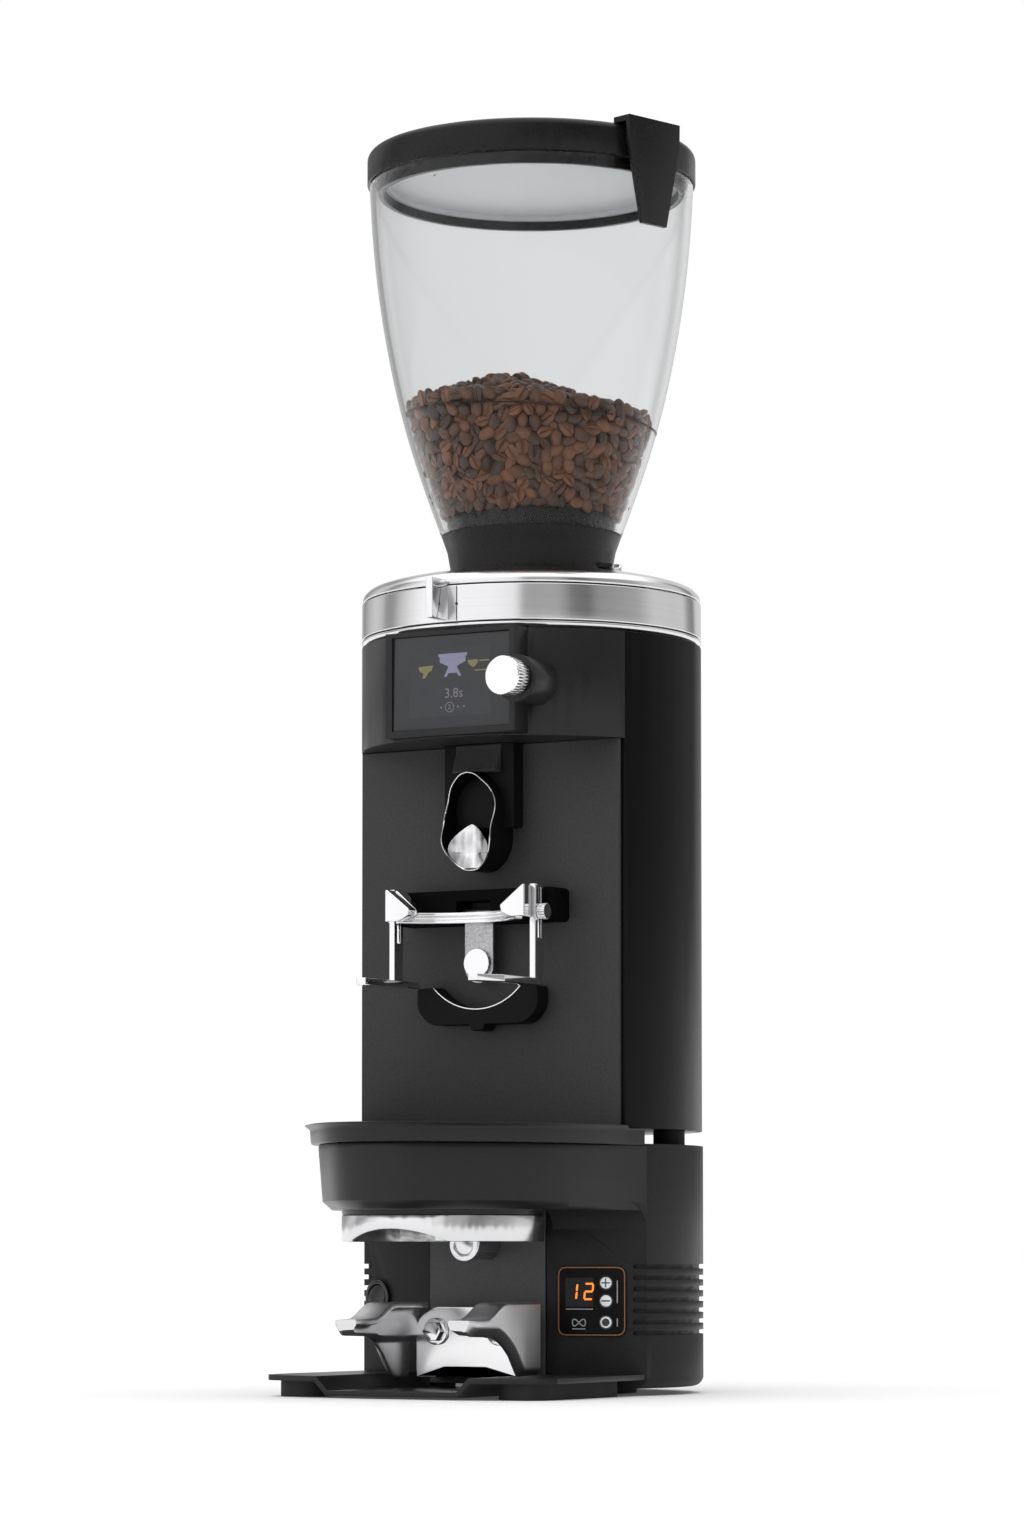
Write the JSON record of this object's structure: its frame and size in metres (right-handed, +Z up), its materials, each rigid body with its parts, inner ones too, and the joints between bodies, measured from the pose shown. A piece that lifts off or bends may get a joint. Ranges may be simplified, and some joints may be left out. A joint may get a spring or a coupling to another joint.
{
  "type": "burr coffee grinder",
  "caption": "Upright on-demand burr coffee grinder with a clear hopper, display and portafilter fork, standing on an automatic tamping base.",
  "frame": {"origin": "on the burr axis at the level of the table, on the underside of the pad under the column", "axes": "+Z up along the burr axis, -Y towards the operator (spout, forks and display), +X to the operator's right"},
  "size_m": [0.1997, 0.2855, 0.7172],
  "materials": {
    "black_shell": "fine satin black powder coat",
    "black_moulding": "satin black moulding",
    "clear_bowl": "clear polished",
    "pale_moulding": "pale grey gloss",
    "roast": "roasted, slightly oily",
    "satin_aluminium": "fine turned satin",
    "polished_steel": "polished",
    "brushed_steel": "brushed",
    "burr_steel": "ground",
    "machine_grey": "painted casting",
    "black_rubber": "matt",
    "dark_glass": "glossy dark",
    "board_green": "lacquered board",
    "button_white": "back-lit white"
  },
  "bodies": {
    "stand": {"bevel_ring": "satin_aluminium", "burr_housing": "machine_grey", "motor_stator": "machine_grey", "shaft_bearings": "burr_steel", "head_housing": "black_shell", "display_bezel": "black_moulding", "display_screen": "dark_glass", "front_panel": "black_shell", "rear_housing": "black_shell", "grinder_floor": "black_shell", "control_board": "board_green", "chute_block": "black_moulding", "chute_liner": "polished_steel", "fork_bracket": "black_shell", "fork_wings": "polished_steel", "thumb_screws": "polished_steel", "tamper_body": "black_shell", "tamper_hood": "black_shell", "column_wall": "black_shell", "control_panel": "dark_glass", "rocker_bezel": "black_moulding", "steel_collar": "brushed_steel", "sensor_housing": "brushed_steel", "tamp_motor": "machine_grey", "cradle_bolts": "polished_steel", "base_plate": "black_shell", "rubber_pads": "black_rubber", "mains_inlets": "black_moulding"},
    "grind_ring": {"adjusting_ring": "satin_aluminium", "ring_lever": "polished_steel"},
    "burr_carrier": {"upper_burr_carrier": "machine_grey", "upper_burr": "burr_steel", "top_cap": "satin_aluminium"},
    "hopper": {"hopper_bowl": "clear_bowl", "hopper_neck": "black_moulding", "coffee_beans": "roast"},
    "gate": {"bean_gate": "black_moulding", "gate_knob": "polished_steel"},
    "lid": {"lid_band": "black_moulding", "lid_disc": "pale_moulding", "lid_flap": "black_moulding"},
    "rotor": {"motor_rotor": "burr_steel", "lower_burr_carrier": "machine_grey", "lower_burr": "burr_steel"},
    "knob_stem": {"knob_shaft": "polished_steel"},
    "knob": {"control_knob": "polished_steel"},
    "fork": {"fork_arms": "polished_steel", "lower_bracket": "black_shell"},
    "trigger": {"trigger_lever": "brushed_steel"},
    "tray": {"catch_tray": "black_moulding"},
    "press_gear": {"press_nut": "burr_steel"},
    "press_pinion": {"motor_pinion": "burr_steel"},
    "piston": {"tamp_piston": "brushed_steel"},
    "cradle": {"portafilter_cradle": "polished_steel"},
    "sensor_key": {"sensor_button": "brushed_steel"},
    "plus_key": {"plus_button": "button_white"},
    "minus_key": {"minus_button": "button_white"},
    "set_key": {"set_button": "button_white"},
    "left_rocker": {"tamper_rocker": "black_moulding"},
    "rear_key": {"rear_rocker": "black_moulding"}
  },
  "joints": [
    {"name": "ring_turn", "type": "hinge", "parent": "stand", "child": "grind_ring", "pos_m": [0, 0, 0.44], "axis": [0, 0, 1], "range_deg": [-75, 75]},
    {"name": "burr_lift", "type": "slide", "parent": "stand", "child": "burr_carrier", "axis": [0, 0, 1], "range_m": [-0.0004, 0.0004]},
    {"name": "hopper_lift", "type": "slide", "parent": "burr_carrier", "child": "hopper", "axis": [0, 0, 1], "range_m": [0, 0.06]},
    {"name": "lid_lift", "type": "slide", "parent": "hopper", "child": "lid", "axis": [0, 0, 1], "range_m": [0, 0.08]},
    {"name": "gate_slide", "type": "slide", "parent": "hopper", "child": "gate", "axis": [0.8988, 0.4384, 0], "range_m": [0, 0.05]},
    {"name": "motor_spin", "type": "hinge", "parent": "stand", "child": "rotor", "pos_m": [0, 0, 0.3], "axis": [0, 0, 1], "continuous": true},
    {"name": "knob_push", "type": "slide", "parent": "stand", "child": "knob_stem", "axis": [0, 1, 0], "range_m": [0, 0.0012], "stiffness_N_per_m": 800},
    {"name": "knob_turn", "type": "hinge", "parent": "knob_stem", "child": "knob", "pos_m": [0.052, -0.116, 0.395], "axis": [0, 1, 0], "continuous": true},
    {"name": "fork_height", "type": "slide", "parent": "stand", "child": "fork", "axis": [0, 0, 1], "range_m": [-0.01, 0.01]},
    {"name": "trigger_press", "type": "hinge", "parent": "stand", "child": "trigger", "pos_m": [0, -0.0585, 0.2703], "axis": [1, 0, 0], "range_deg": [0, 4], "stiffness_Nm_per_rad": 0.4},
    {"name": "tray_slide", "type": "slide", "parent": "stand", "child": "tray", "axis": [0, -1, 0], "range_m": [0, 0.12]},
    {"name": "press_gear_turn", "type": "hinge", "parent": "stand", "child": "press_gear", "pos_m": [0, -0.105, 0.111], "axis": [0, 0, 1], "range_deg": [0, 360]},
    {"name": "press_pinion_turn", "type": "hinge", "parent": "stand", "child": "press_pinion", "pos_m": [0, -0.021, 0.111], "axis": [0, 0, 1], "range_deg": [-535, 5]},
    {"name": "tamp_press", "type": "slide", "parent": "stand", "child": "piston", "axis": [0, 0, -1], "range_m": [0, 0.0245]},
    {"name": "cradle_height", "type": "slide", "parent": "stand", "child": "cradle", "axis": [0, 0, 1], "range_m": [-0.004, 0.006]},
    {"name": "sensor_push", "type": "slide", "parent": "stand", "child": "sensor_key", "axis": [0, 1, 0], "range_m": [0, 0.002], "stiffness_N_per_m": 300},
    {"name": "plus_press", "type": "slide", "parent": "stand", "child": "plus_key", "axis": [-0.2975, 0.9547, 0], "range_m": [0, 0.0006], "stiffness_N_per_m": 500},
    {"name": "minus_press", "type": "slide", "parent": "stand", "child": "minus_key", "axis": [-0.2975, 0.9547, 0], "range_m": [0, 0.0006], "stiffness_N_per_m": 500},
    {"name": "set_press", "type": "slide", "parent": "stand", "child": "set_key", "axis": [-0.2975, 0.9547, 0], "range_m": [0, 0.0006], "stiffness_N_per_m": 500},
    {"name": "left_switch", "type": "hinge", "parent": "stand", "child": "left_rocker", "pos_m": [-0.07999, -0.03775, 0.054], "axis": [0.9547, -0.2975, 0], "range_deg": [0, 16]},
    {"name": "rear_switch", "type": "hinge", "parent": "stand", "child": "rear_key", "pos_m": [0, 0.092, 0.212], "axis": [1, 0, 0], "range_deg": [-14, 0]}
  ],
  "couplings": [
    {"joint": "burr_lift", "follows": "ring_turn", "m_per_rad": 0.00023873},
    {"joint": "press_pinion_turn", "follows": "press_gear_turn", "ratio": -1.4706},
    {"joint": "tamp_press", "follows": "press_gear_turn", "m_per_rad": 0.0038197}
  ]
}
